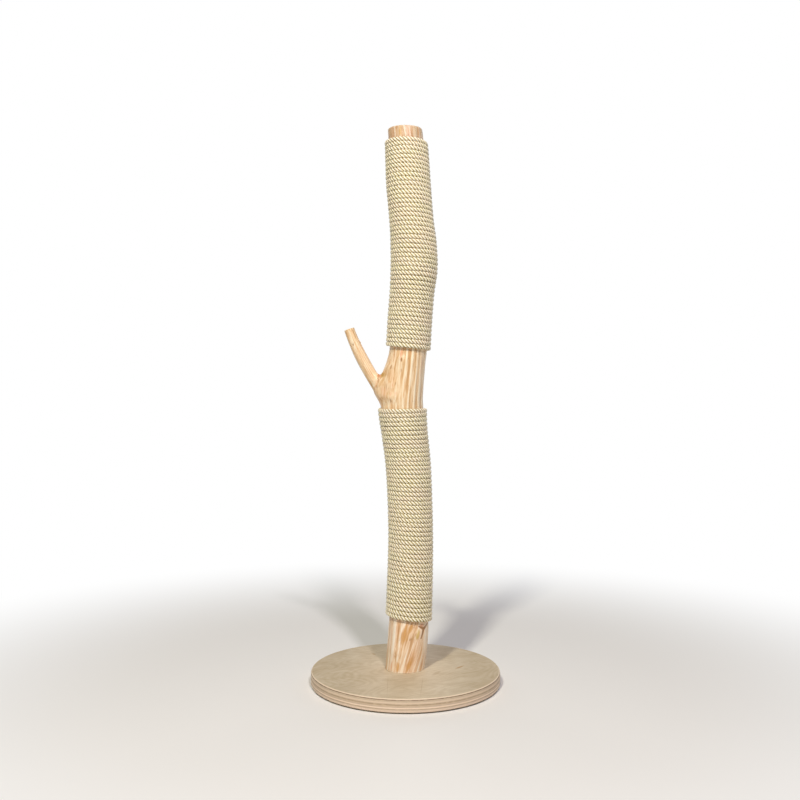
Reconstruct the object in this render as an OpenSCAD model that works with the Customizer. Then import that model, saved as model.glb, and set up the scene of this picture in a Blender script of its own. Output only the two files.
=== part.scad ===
// Cat scratching post: a natural debarked trunk with one side limb stands on a round
// plywood base and carries two tight windings of sisal rope. Millimetres, +Z up, origin
// on the floor under the middle of the base, the limb on the -X side, the front at -Y.

/* [Base] */
// Diameter of the round plywood base
base_d = 400; // [320:5:480]
// Thickness of the base
base_t = 27; // [21:1:40]
// Rounding of the base's upper edge
base_edge_r = 4; // [1:0.5:6]
// Rounding of the base's lower edge
base_foot_r = 1.5; // [0.5:0.5:3]

/* [Felt pads] */
// Diameter of a felt pad
pad_d = 30; // [16:2:40]
// Thickness of a felt pad
pad_t = 3; // [1:0.5:6]
// Number of felt pads under the base
pad_count = 6; // [3:1:10]
// Bare margin between a pad and the rim of the base
pad_margin = 15; // [6:1:40]

/* [Trunk] */
// Length of the trunk from the base to its sawn top
trunk_len = 1146; // [1000:5:1300]
// Mean diameter of the trunk
trunk_d = 79; // [70:1:90]
// Place of the trunk's foot across the base, from its middle
foot_x = -2; // [-10:1:10]
// Place of the trunk's foot in depth
foot_y = 0; // [-10:1:10]
// Rounding of the rim of the sawn top
top_edge_r = 3; // [1:0.5:5]
// Height of the swelling round a knot
knot_rise = 2.2; // [0.5:0.1:4]
// Reach of the swelling round a knot
knot_reach = 13; // [8:1:20]
// Out-of-round of the bare wood
lobe_rise = 0.9; // [0:0.1:2]

/* [Side limb] */
// Distance from the trunk's axis to the middle of the limb's tip
limb_reach = 120; // [90:1:140]
// Height of the limb's tip above the lower winding
limb_rise = 168.5; // [130:0.5:190]
// Diameter of the limb at its tip
limb_tip_d = 24; // [16:1:28]
// Diameter of the limb at the middle of its length
limb_d = 28; // [22:1:34]
// Diameter of the limb's root inside the trunk
limb_root_d = 42; // [38:1:50]
// Height of the swelling that carries the limb on the trunk
collar_rise = 14; // [8:1:20]
// Reach of that swelling along the trunk
collar_reach = 46; // [30:1:60]

/* [Windings] */
// Bare wood between the base and the lower winding
foot_bare = 109; // [80:1:140]
// Height of the lower winding at the front
lower_wind_h = 443.5; // [380:0.5:480]
// Bare wood between the windings, where the limb grows
fork_bare = 128; // [110:0.5:150]
// Bare wood above the upper winding
top_bare = 29; // [25:1:60]
// Height that one turn of rope takes along the trunk
rope_lay = 9.25; // [8.5:0.05:11]
// Thickness of the rope
rope_d = 8.9; // [7:0.1:10]
// Play between one pass of the rope and the next
rope_gap = 0.6; // [0.5:0.1:1]
// Clearance between the rope and the wood
rope_clear = 0.4; // [0.3:0.1:0.6]

/* [Rope staples] */
// Thickness of the staple wire
staple_wire = 1.4; // [1:0.1:2]
// Outer width of a staple's crown
staple_w = 12; // [10:0.5:16]
// Depth of a staple's legs in the wood
staple_bite = 10; // [6:1:16]
// Distance between the two staples at a rope end
staple_step = 14; // [8:1:20]

/* [Base bolt] */
// Thread diameter of the bolt that holds the trunk
bolt_d = 10; // [8:1:12]
// Length of the bolt below its head
bolt_len = 50; // [44:1:60]
// Width across the flats of the hexagonal head
bolt_head_af = 17; // [13:1:19]
// Height of the bolt's head
bolt_head_h = 6.4; // [5:0.2:8]
// Diameter of the washer under the head
washer_d = 30; // [24:1:36]
// Thickness of the washer
washer_t = 2.5; // [1.5:0.5:3]
// Cover between the bolt's head and the underside of the base
head_cover = 1.6; // [0.5:0.1:3]

/* [Threaded insert] */
// Outer diameter of the threaded insert
insert_d = 15; // [14:0.5:18]
// Length of the threaded insert
insert_len = 30; // [25:1:40]
// Depth of the insert's face inside the trunk's foot
insert_sink = 1; // [0:0.5:3]
// Height of one ridge of the insert's outer thread
insert_pitch = 3; // [2:0.5:4]
// Depth of the insert's outer thread
insert_thread = 1.2; // [0.5:0.1:1.6]

/* [Anti-twist screws] */
// Number of wood screws between the base and the trunk
screw_count = 3; // [2:1:4]
// Outer diameter of the wood screws
screw_d = 5; // [4:0.5:6]
// Length of the wood screws
screw_len = 60; // [45:5:70]
// Distance of the wood screws from the bolt
screw_ring = 25; // [23:1:28]

/* [Fits] */
// Play all round a bolt, screw or insert in its hole
bore_play = 0.1; // [0.05:0.05:0.4]
// Play of the bolt and the screws in the base
base_play = 0.5; // [0.3:0.1:1]

/* [Hidden] */

// Heights of the main faces
base_top = pad_t + base_t;
trunk_top = base_top + trunk_len;
lower_wind_z = base_top + foot_bare;
lower_wind_top = lower_wind_z + lower_wind_h;
upper_wind_z = lower_wind_top + fork_bare;
upper_wind_top = trunk_top - top_bare;

// Growth of the trunk: share of its length, drift from the foot sideways and in depth,
// and what the radius gains on the mean
growth = [
    [0, 0, 0, 0.7], [0.05, 6, 1, 2.2], [0.11, 9.5, 2, 1.6], [0.23, 13, 5, 0.1],
    [0.31, 11.5, 7, 0], [0.38, 7.5, 7.5, 0.7], [0.44, -0.2, 6, 1.8], [0.48, -4.3, 5, 4.2],
    [0.52, -1, 3.5, 2.6], [0.58, 6.6, 1, 0.2], [0.65, 11.5, -2.5, -0.3],
    [0.70, 16, -5, -0.2], [0.74, 20, -6, 2.1], [0.785, 19, -6.5, 1.2],
    [0.83, 14.5, -5.5, -0.9], [0.90, 8, -3, -0.5], [0.96, 4.5, -0.5, -1.8],
    [1, 0.5, 1, -4]
];
// Knots in the bare wood: height above the base or above the lower winding, and angle
foot_knots = [[82, 295], [40, 240], [64, 110]];
fork_knots = [[16.5, 234], [82.5, 219], [100.5, 255], [58.5, 60]];
// Length at each end over which the sections turn level with the sawn faces
level_run = 30;
// Share of the length over which the axis's slope is taken
step_share = 0.002;
// Distance from a winding at which bare wood starts to swell, and the run of that start
bare_from = 3;
bare_run = 23;

trunk_sides = 36;
// Steps between the trunk's rings where it is bare and where rope hides it
bare_step = 7.5;
wound_step = 15.5;
limb_sides = 18;
limb_rings = 18;
// Limb: height of the collar's middle above the lower winding, its spread round the
// trunk in degrees, and the side that the limb grows from
collar_z = 38.5;
collar_spread = 50;
limb_side = 180;
// Where the limb's curve starts, and where its knee lies as a share of its span
limb_sink = 22.5;
limb_start = 4;
limb_knee_at = [0.76, 0.585];
flare_share = 0.5;
flare_power = 2.3;
taper_from = 0.55;
tip_round = 1.5;

// Slopes at which the turns of a winding fall to the right besides their pitch, at its
// foot and at its top
lower_fall = [0.1, -0.05];
upper_fall = [0.06, 0];
// Ropes abreast in one loop, and rings in one loop
ropes_abreast = 2;
loop_rings = 13;
// Depth of the groove between the two ropes, and flat of a crest, as shares of the rope
groove_share = 0.42;
crest_share = 0.46;
back_angle = 90;
full_turn = 360;

insert_face = base_top + insert_sink;
insert_bore_d = insert_d + 2 * bore_play;
bolt_seat = pad_t + head_cover + bolt_head_h;
washer_top = bolt_seat + washer_t;
bolt_bore_d = bolt_d + 2 * bore_play;
bolt_chamfer = 1;
// Room in the trunk above the bolt's end
bolt_end_room = 0.2 * bolt_d;
// Foot, crest and top of a ridge of the insert's thread, as shares of its pitch
ridge_at = [0.2, 0.5, 0.9];
slot_w = 0.16 * insert_d;
slot_h = 0.2 * insert_d;

screw_head_d = 2 * screw_d;
screw_head_h = 0.6 * screw_d;
screw_tip = 1.6 * screw_d;
screw_point_d = 0.08 * screw_d;
screw_neck_d = 0.76 * screw_d;
screw_neck = base_t - screw_head_h - 0.4 * screw_d;
screw_recess = 0.5 * screw_d;

$fn = 96;
cut = 1;

function clamp(v, low, high) = max(low, min(high, v));
function unit(v) = v / norm(v);
function ease(v) = let (u = clamp(v, 0, 1)) u * u * (3 - 2 * u);

// Smooth curve through the growth list: column c at a share t of the length
function growth_at(t, c, i = 0) =
    i < len(growth) - 2 && t > growth[i + 1][0] ? growth_at(t, c, i + 1) : hermite(t, c, i);
function growth_slope(i, c) =
    let (a = max(i - 1, 0), b = min(i + 1, len(growth) - 1))
    (growth[b][c] - growth[a][c]) / (growth[b][0] - growth[a][0]);
function hermite(t, c, i) =
    let (w = growth[i + 1][0] - growth[i][0], u = (t - growth[i][0]) / w)
    growth[i][c] * (1 + 2 * u) * (1 - u) * (1 - u)
        + growth[i + 1][c] * u * u * (3 - 2 * u)
        + growth_slope(i, c) * w * u * (1 - u) * (1 - u)
        - growth_slope(i + 1, c) * w * u * u * (1 - u);

function share(z) = clamp((z - base_top) / trunk_len, 0, 1);
function axis_x(z) = foot_x + growth_at(share(z), 1);
function axis_y(z) = foot_y + growth_at(share(z), 2);
function axis(z) = [axis_x(z), axis_y(z), z];
function wood_r(z) = trunk_d / 2 + growth_at(share(z), 3);

// Direction of the trunk's axis, which turns upright at the sawn ends
function heading(z) =
    let (
        d = step_share * trunk_len,
        f = ease(min(z - base_top, trunk_top - z) / level_run),
        rise = [axis_x(z + d) - axis_x(z - d), axis_y(z + d) - axis_y(z - d)] / (2 * d)
    )
    unit([f * rise[0], f * rise[1], 1]);

// Point at radius r and angle a of the section that crosses the axis at height z
function around(z, a, r) =
    let (up = heading(z), side = unit(cross([0, 1, 0], up)), depth = cross(up, side))
    axis(z) + r * (cos(a) * side + sin(a) * depth);

// How bare the wood is at height z, from 0 under rope to 1
function bare(z) = ease(max(
    lower_wind_z - z, min(z - lower_wind_top, upper_wind_z - z), z - upper_wind_top
) / bare_run - bare_from / bare_run);

function turned(a, b) = min(abs(a - b), full_turn - abs(a - b));
function swelling(z, a, knot_z, knot_a) =
    let (run = norm([z - knot_z, turned(a, knot_a) * PI / 180 * trunk_d / 2]))
    knot_rise * exp(-pow(run / knot_reach, 2));
function sum(list) = list * [for (v = list) 1];
function knots(z, a) =
    sum([for (k = foot_knots) swelling(z, a, base_top + k[0], k[1])])
        + sum([for (k = fork_knots) swelling(z, a, lower_wind_top + k[0], k[1])]);
function lobes(z, a) = lobe_rise * (cos(2 * a + z / 3) + 0.6 * cos(3 * a - z / 4));

function collar(z, a) =
    collar_rise * exp(-pow((z - lower_wind_top - collar_z) / collar_reach, 2))
        * exp(-pow(turned(a, limb_side) / collar_spread, 2));

function bark_r(z, a) = wood_r(z) + bare(z) * (knots(z, a) + lobes(z, a) + collar(z, a));
function rim_r(z) =
    let (d = clamp(top_edge_r - (trunk_top - z), 0, top_edge_r))
    top_edge_r - sqrt(top_edge_r * top_edge_r - d * d);

function trunk_ring(z) = [
    for (k = [0 : trunk_sides - 1])
        let (a = full_turn * k / trunk_sides)
        around(z, a, bark_r(z, a) - rim_r(z))
];
function levels(low, high, step) =
    let (count = round((high - low) / step))
    [for (k = [0 : count - 1]) low + (high - low) * k / count];

// Closed skin over a list of rings, each turning left as seen from the last ring. Its end
// faces fan out from the point of the ring that hub names.
module skin(rings, hub = 0) {
    n = len(rings[0]);
    last = (len(rings) - 1) * n;
    sides = [
        for (i = [0 : len(rings) - 2], j = [0 : n - 1])
            let (a = i * n + j, b = i * n + (j + 1) % n)
            each [[a, a + n, b + n], [a, b + n, b]]
    ];
    fan = [for (k = [1 : n - 2]) [hub, (hub + k) % n, (hub + k + 1) % n]];
    ends = [for (f = fan) each [f, [last + f[0], last + f[2], last + f[1]]]];
    polyhedron([for (ring = rings) each ring], concat(sides, ends), convexity = 10);
}

module trunk_stem() {
    rings = concat(
        levels(base_top, lower_wind_z, bare_step),
        levels(lower_wind_z, lower_wind_top, wound_step),
        levels(lower_wind_top, upper_wind_z, bare_step),
        levels(upper_wind_z, upper_wind_top, wound_step),
        levels(upper_wind_top, trunk_top - top_edge_r, bare_step),
        [for (a = [0 : 30 : 90]) trunk_top - top_edge_r * (1 - sin(a))]
    );
    skin([for (z = rings) trunk_ring(z)]);
}

// Side limb: a curve from inside the trunk to the tip, with a flare at its root
limb_foot = axis(lower_wind_top - limb_sink) - [limb_start, 0, 0];
limb_tip = axis(lower_wind_top) + [-limb_reach - axis_x(lower_wind_top), 0, limb_rise];
limb_span = limb_tip - limb_foot;
limb_knee = limb_foot + [limb_knee_at[0] * limb_span[0], 0, limb_knee_at[1] * limb_span[2]];

function limb_at(t) =
    (1 - t) * (1 - t) * limb_foot + 2 * t * (1 - t) * limb_knee + t * t * limb_tip;
function limb_heading(t) = unit((1 - t) * (limb_knee - limb_foot) + t * (limb_tip - limb_knee));
function limb_r(t) =
    limb_d / 2 + (limb_root_d - limb_d) / 2 * pow(max(0, 1 - t / flare_share), flare_power)
        - (limb_d - limb_tip_d) / 2 * ease((t - taper_from) / (1 - taper_from));
function limb_ring(t, r) =
    let (up = limb_heading(t), side = unit(cross([0, 1, 0], up)), depth = cross(up, side))
    [
        for (k = [0 : limb_sides - 1])
            let (a = full_turn * k / limb_sides)
            limb_at(t) + r * (cos(a) * side + sin(a) * depth)
    ];

module limb() {
    last = 1 - tip_round / norm(limb_span);
    skin(concat(
        [for (k = [0 : limb_rings]) limb_ring(last * k / limb_rings, limb_r(k / limb_rings))],
        [limb_ring(1, limb_r(1) - tip_round)]
    ));
}

module screw_places() {
    for (k = [0 : screw_count - 1])
        translate([foot_x, foot_y, pad_t])
            rotate(full_turn * k / screw_count + back_angle)
                translate([screw_ring, 0, 0])
                    children();
}

module trunk() {
    color("#e6c096")
        difference() {
            union() {
                trunk_stem();
                limb();
            }
            translate([foot_x, foot_y, base_top - cut])
                cylinder(d = insert_bore_d, h = insert_sink + insert_len + bore_play + cut);
            translate([foot_x, foot_y, base_top])
                cylinder(d = bolt_bore_d, h = bolt_seat + bolt_len + bolt_end_room - base_top);
            screw_places()
                translate([0, 0, base_t - cut])
                    cylinder(d = screw_d + 2 * bore_play, h = screw_len - base_t + cut + bore_play);
        }
}

// Height on the trunk's axis of the section through a turn's point at angle a. Turns keep
// their own slope, so they don't follow the lean of the trunk.
function lean(z) = let (up = heading(z)) up[0] / up[2];
function turn_z(z, a, low, height, fall) =
    let (slope = fall[0] + (fall[1] - fall[0]) * (z - low) / height)
    z - trunk_d / 2 * cos(a) * (slope - lean(z));

// Rope winding: one band of two ropes side by side, wound without a break, that sinks
// as it crosses the front from left to right
function loops_in(height) = round(height / (ropes_abreast * rope_lay));
function band_pitch(height) = (height + rope_gap) / loops_in(height);
function band_w(height) = band_pitch(height) - rope_gap;

// Section of the band: place along the trunk, height over the wood, and the stretch that
// lets the straight steps of a loop clear the wood and keeps its crests at the rope's
// mean radius
function band_section(w) =
    let (
        step = cos(full_turn / 2 / loop_rings),
        over = 1 / sqrt(step),
        flat = crest_share * rope_d / 2,
        groove = rope_d * (1 - groove_share)
    )
    [
        [-w / 2, rope_clear, 1 / step], [-w / 4 - flat, rope_d, over],
        [-w / 4 + flat, rope_d, over], [0, groove, over], [w / 4 - flat, rope_d, over],
        [w / 4 + flat, rope_d, over], [w / 2, rope_clear, 1 / step]
    ];
function band_ring(low, height, fall, u) =
    let (
        w = band_w(height),
        middle = low + w / 2 + (u - 0.5) * band_pitch(height),
        a = back_angle - full_turn * u
    )
    [
        for (p = band_section(w))
            let (z = turn_z(middle + p[0], a, low, height, fall))
            around(z, a, (wood_r(z) + p[1]) * p[2])
    ];
function band_rings(low, height, fall) = [
    for (k = [0 : loops_in(height) * loop_rings]) band_ring(low, height, fall, k / loop_rings)
];
function least_gap(rings) = min([
    for (k = [0 : len(rings) - 1 - loop_rings])
        let (pass = rings[k], next = rings[k + loop_rings], edge = len(pass) - 1)
        min(norm(next[0] - pass[edge]), norm(next[1] - pass[edge - 1]))
]);

module winding(low, height, fall, name) {
    rings = band_rings(low, height, fall);
    echo(str(name, ": loops ", loops_in(height), ", least gap to itself ", least_gap(rings)));
    color("#cdbd8b")
        skin(rings, 3);
}

module lower_rope_winding()
    winding(lower_wind_z, lower_wind_h, lower_fall, "lower winding");
module upper_rope_winding()
    winding(upper_wind_z, upper_wind_top - upper_wind_z, upper_fall, "upper winding");

// Staple over the rope at the back of the trunk, its legs in the wood
module staple(z, a) {
    crown = rope_d + staple_wire;
    place = around(z, a, wood_r(z));
    translate(place)
        rotate(a - back_angle) {
            translate([0, crown - staple_wire / 2, -staple_w / 2])
                cylinder(d = staple_wire, h = staple_w, $fn = 24);
            for (side = [-1, 1])
                translate([0, -staple_bite, side * (staple_w - staple_wire) / 2])
                    rotate([-90, 0, 0])
                        cylinder(d = staple_wire, h = staple_bite + crown - staple_wire / 2, $fn = 24);
        }
}

module staple_pairs(low, height, fall) {
    step = staple_step / (trunk_d / 2 + rope_d) * 180 / PI;
    color("silver")
        for (k = [1, 2]) {
            start = back_angle - k * step;
            end = back_angle + k * step;
            rise = k * step / full_turn * rope_lay;
            staple(turn_z(low + rise, start, low, height, fall), start);
            staple(turn_z(low + height - rise, end, low, height, fall), end);
        }
}

module lower_rope_staples() staple_pairs(lower_wind_z, lower_wind_h, lower_fall);
module upper_rope_staples()
    staple_pairs(upper_wind_z, upper_wind_top - upper_wind_z, upper_fall);

module base_profile() {
    r = base_d / 2;
    polygon(concat(
        [[0, 0]],
        [for (a = [0 : 15 : 90])
            [r - base_foot_r + base_foot_r * sin(a), base_foot_r - base_foot_r * cos(a)]],
        [for (a = [0 : 10 : 90])
            [r - base_edge_r + base_edge_r * cos(a), base_t - base_edge_r + base_edge_r * sin(a)]],
        [[0, base_t]]
    ));
}

module base_plate() {
    color("#cfb48d")
        difference() {
            translate([0, 0, pad_t])
                rotate_extrude($fn = 180)
                    base_profile();
            translate([foot_x, foot_y, pad_t - cut])
                cylinder(d = bolt_d + 2 * base_play, h = base_t + 2 * cut);
            translate([foot_x, foot_y, pad_t - cut])
                cylinder(d = washer_d + 2 * base_play, h = washer_top - pad_t + cut);
            screw_places() {
                translate([0, 0, -cut])
                    cylinder(d = screw_d + 2 * base_play, h = base_t + 2 * cut);
                translate([0, 0, -cut])
                    cylinder(d = screw_head_d + 2 * bore_play, h = cut + bore_play);
                translate([0, 0, bore_play])
                    cylinder(
                        d1 = screw_head_d + 2 * bore_play,
                        d2 = screw_neck_d + 2 * bore_play,
                        h = screw_head_h
                    );
            }
        }
}

module felt_pads() {
    color("#5a5652")
        for (k = [0 : pad_count - 1])
            rotate(full_turn * (k + 0.5) / pad_count)
                translate([base_d / 2 - pad_margin - pad_d / 2, 0, 0])
                    cylinder(d = pad_d, h = pad_t);
}

module base_bolt() {
    color("silver")
        translate([foot_x, foot_y, bolt_seat])
            union() {
                translate([0, 0, -bolt_head_h])
                    cylinder(d = bolt_head_af / cos(30), h = bolt_head_h, $fn = 6);
                cylinder(d = bolt_d, h = bolt_len - bolt_chamfer);
                translate([0, 0, bolt_len - bolt_chamfer])
                    cylinder(d1 = bolt_d, d2 = bolt_d - 2 * bolt_chamfer, h = bolt_chamfer);
            }
}

module base_washer() {
    color("gainsboro")
        translate([foot_x, foot_y, bolt_seat])
            difference() {
                cylinder(d = washer_d, h = washer_t);
                translate([0, 0, -cut])
                    cylinder(d = bolt_d + 2 * base_play, h = washer_t + 2 * cut);
            }
}

// Insert with a coarse outer thread as ridges, and a slot for the driver below
module threaded_insert() {
    core = insert_d / 2 - insert_thread;
    ridges = floor(insert_len / insert_pitch);
    color("goldenrod")
        translate([foot_x, foot_y, insert_face])
            difference() {
                rotate_extrude()
                    polygon(concat(
                        [[bolt_bore_d / 2, 0], [core, 0]],
                        [for (k = [0 : ridges - 1]) each [
                            [core, (k + ridge_at[0]) * insert_pitch],
                            [insert_d / 2, (k + ridge_at[1]) * insert_pitch],
                            [core, (k + ridge_at[2]) * insert_pitch]
                        ]],
                        [[core, insert_len], [bolt_bore_d / 2, insert_len]]
                    ));
                translate([-insert_d, -slot_w / 2, -cut])
                    cube([2 * insert_d, slot_w, slot_h + cut]);
            }
}

// Countersunk wood screws with a cross recess, driven up through the base
module anti_twist_screws() {
    color("#c9a94a")
        screw_places()
            difference() {
                union() {
                    cylinder(d1 = screw_head_d, d2 = screw_neck_d, h = screw_head_h);
                    cylinder(d = screw_neck_d, h = screw_head_h + screw_neck);
                    translate([0, 0, screw_head_h + screw_neck])
                        cylinder(d = screw_d, h = screw_len - screw_head_h - screw_neck - screw_tip);
                    translate([0, 0, screw_len - screw_tip])
                        cylinder(d1 = screw_d, d2 = screw_point_d, h = screw_tip);
                }
                for (turn = [0, 90])
                    rotate(turn)
                        translate([-screw_recess, -screw_d / 10, -cut])
                            cube([2 * screw_recess, screw_d / 5, screw_recess + cut]);
            }
}

base_plate();
felt_pads();
trunk();
lower_rope_winding();
upper_rope_winding();
lower_rope_staples();
upper_rope_staples();
threaded_insert();
base_bolt();
base_washer();
anti_twist_screws();
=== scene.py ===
"""Looks of the cat scratching post: the debarked trunk with its side limb, the two windings
of sisal rope, the felt pads, and the finish of the plywood base and the fasteners.
Shapes are worked out in millimetres, in the frame of the CAD model, and meshes are in metres."""
import math

import bpy
import numpy as np
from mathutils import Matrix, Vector


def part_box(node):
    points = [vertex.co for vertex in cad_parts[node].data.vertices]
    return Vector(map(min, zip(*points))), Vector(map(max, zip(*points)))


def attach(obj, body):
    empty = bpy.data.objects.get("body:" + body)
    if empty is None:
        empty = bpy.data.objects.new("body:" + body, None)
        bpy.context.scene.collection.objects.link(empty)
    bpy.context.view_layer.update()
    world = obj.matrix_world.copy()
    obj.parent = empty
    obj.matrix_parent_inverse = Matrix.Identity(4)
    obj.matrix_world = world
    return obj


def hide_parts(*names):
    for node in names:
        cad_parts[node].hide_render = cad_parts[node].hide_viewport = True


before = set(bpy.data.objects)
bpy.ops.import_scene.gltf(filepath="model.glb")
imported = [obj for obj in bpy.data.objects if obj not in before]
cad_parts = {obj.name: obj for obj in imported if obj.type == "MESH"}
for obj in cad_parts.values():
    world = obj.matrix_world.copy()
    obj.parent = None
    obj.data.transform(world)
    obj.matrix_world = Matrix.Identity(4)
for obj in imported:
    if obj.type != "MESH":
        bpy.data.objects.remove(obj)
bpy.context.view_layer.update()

MM = 0.001
BODY = "root"
UP = np.array([0.0, 0.0, 1.0])
DEPTH = np.array([0.0, 1.0, 0.0])

# Heights of the main faces
BASE_FOOT, BASE_TOP = (corner[2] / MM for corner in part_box("base_plate"))
TRUNK_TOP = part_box("trunk")[1][2] / MM
TRUNK_LEN = TRUNK_TOP - BASE_TOP
LOWER_WIND_Z = BASE_TOP + 109
LOWER_WIND_TOP = LOWER_WIND_Z + 443.5
UPPER_WIND_Z = LOWER_WIND_TOP + 128
UPPER_WIND_TOP = TRUNK_TOP - 29

# Growth of the trunk: share of its length, drift sideways and in depth, and gain in radius
GROWTH = np.array([
    [0, -2, 0, 0.7], [0.05, 4, 1, 2.2], [0.11, 7.5, 2, 1.6], [0.23, 11, 5, 0.1],
    [0.31, 9.5, 7, 0], [0.38, 5.5, 7.5, 0.7], [0.44, -2.2, 6, 1.8], [0.48, -6.3, 5, 4.2],
    [0.52, -3, 3.5, 2.6], [0.58, 4.6, 1, 0.2], [0.65, 9.5, -2.5, -0.3],
    [0.70, 14, -5, -0.2], [0.74, 18, -6, 2.1], [0.785, 17, -6.5, 1.2],
    [0.83, 12.5, -5.5, -0.9], [0.90, 6, -3, -0.5], [0.96, 2.5, -0.5, -1.8],
    [1, -1.5, 1, -4],
])
TRUNK_R = 39.5
LEVEL_RUN = 30
AXIS_STEP = 2.3
TOP_EDGE_R = 3


def raised(foot, *marks):
    """Marks in the frame's heights, given with heights over foot."""
    return [(foot + height, *rest) for height, *rest in marks]


# Swellings of the bare wood over grown-in knots: height and angle
BARE_FROM, BARE_RUN = 3, 23
LOBE_RISE = 0.9
KNOT_RISE, KNOT_REACH = 2.2, 13
SWELLINGS = [
    *raised(BASE_TOP, (82, 295), (40, 240), (64, 110)),
    *raised(LOWER_WIND_TOP, (16.5, 234), (82.5, 219), (100.5, 255), (58.5, 60)),
]
# Marks on the bare trunk: height, angle, half width, half height and strength
KNOTS = [
    *raised(LOWER_WIND_TOP, (101.6, 252.9, 1.7, 4.4, 1), (79, 255.8, 1.2, 4, 0.45),
            (83.8, 223.7, 1.4, 4.4, 0.85), (109, 226, 1.2, 5, 0.4), (51, 245, 1.1, 3, 0.5),
            (15, 236, 1.6, 3.4, 0.7), (58.5, 60, 3.6, 5.5, 1), (70, 140, 1.6, 3, 0.8),
            (112, 20, 1.8, 3, 0.8)),
    *raised(BASE_TOP, (70, 276.6, 1.5, 2.6, 0.5), (64, 110, 3.2, 5, 1), (22, 20, 1.8, 3, 0.8),
            (88, 170, 2, 3, 0.7)),
]
BARK = [
    *raised(BASE_TOP, (77.5, 257.7, 4.6, 16, 1), (92.7, 275, 2.6, 9, 0.9), (11, 247, 4.2, 10, 1),
            (17.6, 281.6, 3.8, 13, 1), (40, 251, 2, 20, 0.5), (48.8, 292, 1.7, 16, 0.5),
            (41, 313.6, 2.4, 17, 0.5), (50, 70, 5, 16, 0.9), (78, 160, 4, 11, 0.8)),
    *raised(LOWER_WIND_TOP, (42.5, 271, 1.8, 22, 0.75), (53.5, 229, 1.8, 2.4, 0.7),
            (90, 95, 4, 18, 0.8)),
    *raised(TRUNK_TOP, (-12, 253, 4, 13, 1), (-12, 318, 2, 13, 0.8)),
]
REDDISH = [
    *raised(LOWER_WIND_TOP, (116, 249.6, 2.4, 10, 1), (93.7, 320.6, 1.5, 22, 0.6),
            (29.8, 215.7, 5, 8, 0.35)),
    *raised(BASE_TOP, (99, 311, 6.5, 3.6, 0.9), (71, 212.4, 1.4, 22, 0.5), (10, 223.4, 1.8, 8, 0.6)),
    *raised(TRUNK_TOP, (-14, 283, 4.5, 9, 0.25)),
]
OLIVE = [
    *raised(BASE_TOP, (79.8, 298, 2.8, 11, 0.9), (20, 201, 2.4, 26, 0.6)),
    *raised(TRUNK_TOP, (-12, 209, 2, 9, 0.5), (-12, 252, 2.8, 13, 0.6), (-12, 304, 1.6, 13, 0.5),
            (-12, 330, 3, 13, 0.4)),
]
# Flecks below the crotch: place across, height, half width, half height and strength
FLECKS = [
    (-58, LOWER_WIND_TOP + 59.8, 1.4, 6.5, 0.75), (-60.5, LOWER_WIND_TOP + 46, 1.7, 4, 0.55),
    (-40.5, LOWER_WIND_TOP + 44.4, 1.3, 7, 0.4),
]
# Healed bark in the crotch: place across, height, half width and half height
CROTCH = (-51.8, LOWER_WIND_TOP + 70.8, 6.8, 5.4)
# Marks on the limb: share of its length, side, half width, half height and strength
LIMB_KNOTS = [(0.803, 249.5, 1.5, 2.6, 1)]
LIMB_BARK = [(0.72, 232, 3.4, 34, 0.5), (0.95, 225, 6, 16, 0.45), (0.2, 214, 3, 50, 0.9)]
# Splits in the foot: where they meet, and their ends, as height and angle
SPLIT_AT = (BASE_TOP + 90.7, 320)
SPLIT_ENDS = raised(BASE_TOP, (96.8, 302), (100, 342), (72, 311))
SPLIT_WIDTH, SPLIT_DEPTH = 2.6, 0.6
# Flutes: how many go round; angle of one crest, height and sharpness of the crests and level
# between them, in the fork and in the foot; and how far round from the limb's side they stay
# away in the fork
FLUTES = 20
FORK_FLUTES = (267.5, 0.42, 2.5, 0.68)
FOOT_FLUTES = (259.6, 0.16, 1.7, 0.8)
FLUTE_CLEAR_AT, FLUTE_CLEAR = 196, 44
# Side where painted light makes the bare wood paler and its flutes show less, and how far round it reaches
PAINTED_LIGHT_SIDE, PAINTED_LIGHT_SPREAD = 333, 36
# Mottled wood below the crotch: its middle and how far it reaches
MOTTLE_AT, MOTTLE_REACH = (-46, LOWER_WIND_TOP + 36), 32
# Lean of the grain in the foot, the side where it is strongest, how far round it reaches, and
# the height over which it fades
FOOT_LEAN, FOOT_LEAN_SIDE, FOOT_LEAN_SPREAD, FOOT_LEAN_FADE = 0.19, 300, 50, 100
# Noise in the bare wood: its cells across, across and along the grain, and its seed
RAGGED, SPECKS, PATCHES = ((2.2, 2.2, 9), 31), ((1.7, 1.7, 8), 17), ((5, 5, 46), 11)
MOTTLE, RIDGES, FIBRES = ((3.5, 3.5, 9), 37), ((6, 6, 130), 3), ((2.2, 2.2, 50), 7)
SWAY, FADE = ((14, 14, 150), 5), ((22, 22, 120), 9)

# Side limb, and the swelling that carries it
LIMB_FOOT_DROP, LIMB_START = 22.5, 4
LIMB_REACH, LIMB_RISE = 120, 168.5
LIMB_KNEE = (0.76, 0.585)
LIMB_D, LIMB_TIP_D, LIMB_ROOT_D, TIP_ROUND = 28, 24, 42, 1.5
FLARE_SHARE, FLARE_POWER, TAPER_FROM = 0.5, 2.3, 0.55
COLLAR_RISE, COLLAR_REACH, COLLAR_SPREAD, COLLAR_Z = 14, 46, 50, 38.5
LIMB_SIDE = 180
LIMB_BLEND, FACE_BLEND, FACE_RUN = 11, 12, 22
# Grain of the limb: where it lies beside and above the trunk's, and how softly the two join
GRAIN_ASIDE, GRAIN_ABOVE, GRAIN_BLEND = -34, 20, 30

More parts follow.
